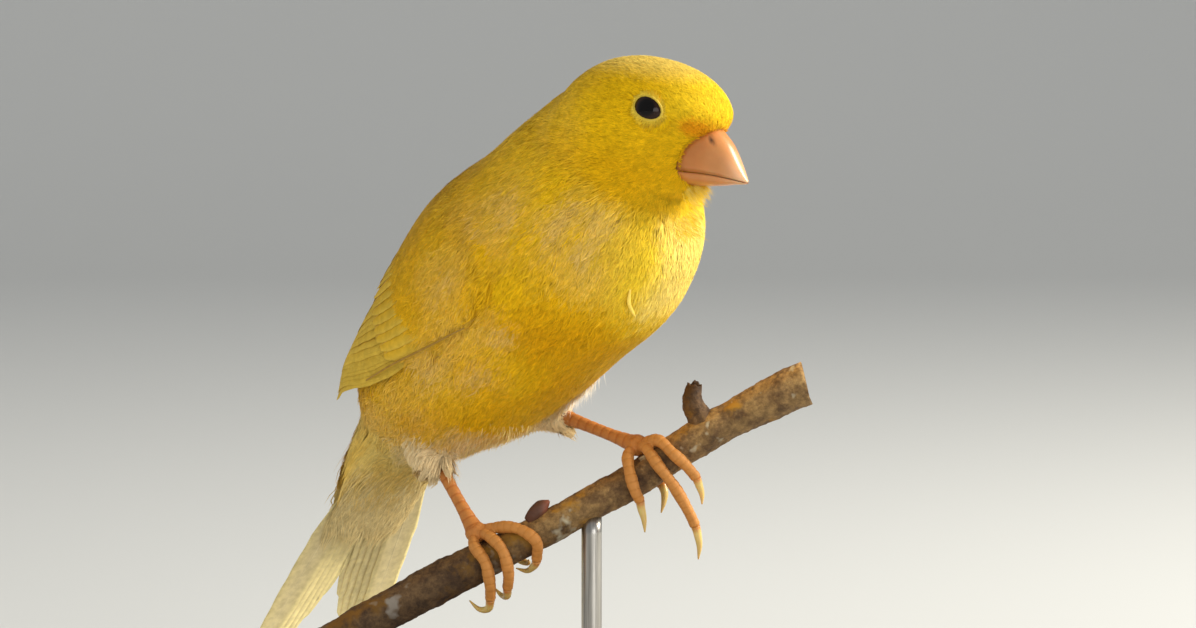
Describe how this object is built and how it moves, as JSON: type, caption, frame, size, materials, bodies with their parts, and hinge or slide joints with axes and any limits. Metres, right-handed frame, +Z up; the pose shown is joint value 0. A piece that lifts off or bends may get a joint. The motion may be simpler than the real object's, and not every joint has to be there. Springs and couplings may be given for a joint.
{
  "type": "perched canary",
  "caption": "Life-size still model of a yellow canary gripping a short cut branch, with folded wings, forked tail and turned head, on a round stand with a rod.",
  "frame": {"origin": "centre of the stand's base underside, on the floor", "axes": "+Z up. The branch runs along X and rises towards +X. The bird's breast and bill point towards +X and are turned towards -Y, the side the camera is on."},
  "size_m": [0.0973, 0.0935, 0.1104],
  "materials": {
    "plumage": "small soft body feathers, golden yellow",
    "wing": "flight and covert feathers, yellow with pale edges",
    "tail": "tail feathers, pale yellow grey",
    "bill": "horn, flesh pink, satin",
    "eye": "black brown, glossy",
    "leg": "scaly skin, orange flesh",
    "claw": "horn, pale yellow, satin",
    "bark": "grey brown bark with lichen",
    "base": "dark stained wood, satin",
    "rod": "brushed steel"
  },
  "bodies": {
    "root": {"head": "plumage", "neck": "plumage", "torso": "plumage", "rump": "plumage", "tail": "tail", "wing_left": "wing", "wing_right": "wing", "bill_upper": "bill", "bill_lower": "bill", "eye_left": "eye", "eye_right": "eye", "leg_left": "plumage", "leg_right": "plumage", "foot_left": "leg", "foot_right": "leg", "claw_left_inner": "claw", "claw_left_middle": "claw", "claw_left_outer": "claw", "claw_left_hallux": "claw", "claw_right_inner": "claw", "claw_right_middle": "claw", "claw_right_outer": "claw", "claw_right_hallux": "claw", "perch": "bark", "stand_base": "base", "stand_rod": "rod"}
  },
  "joints": []
}
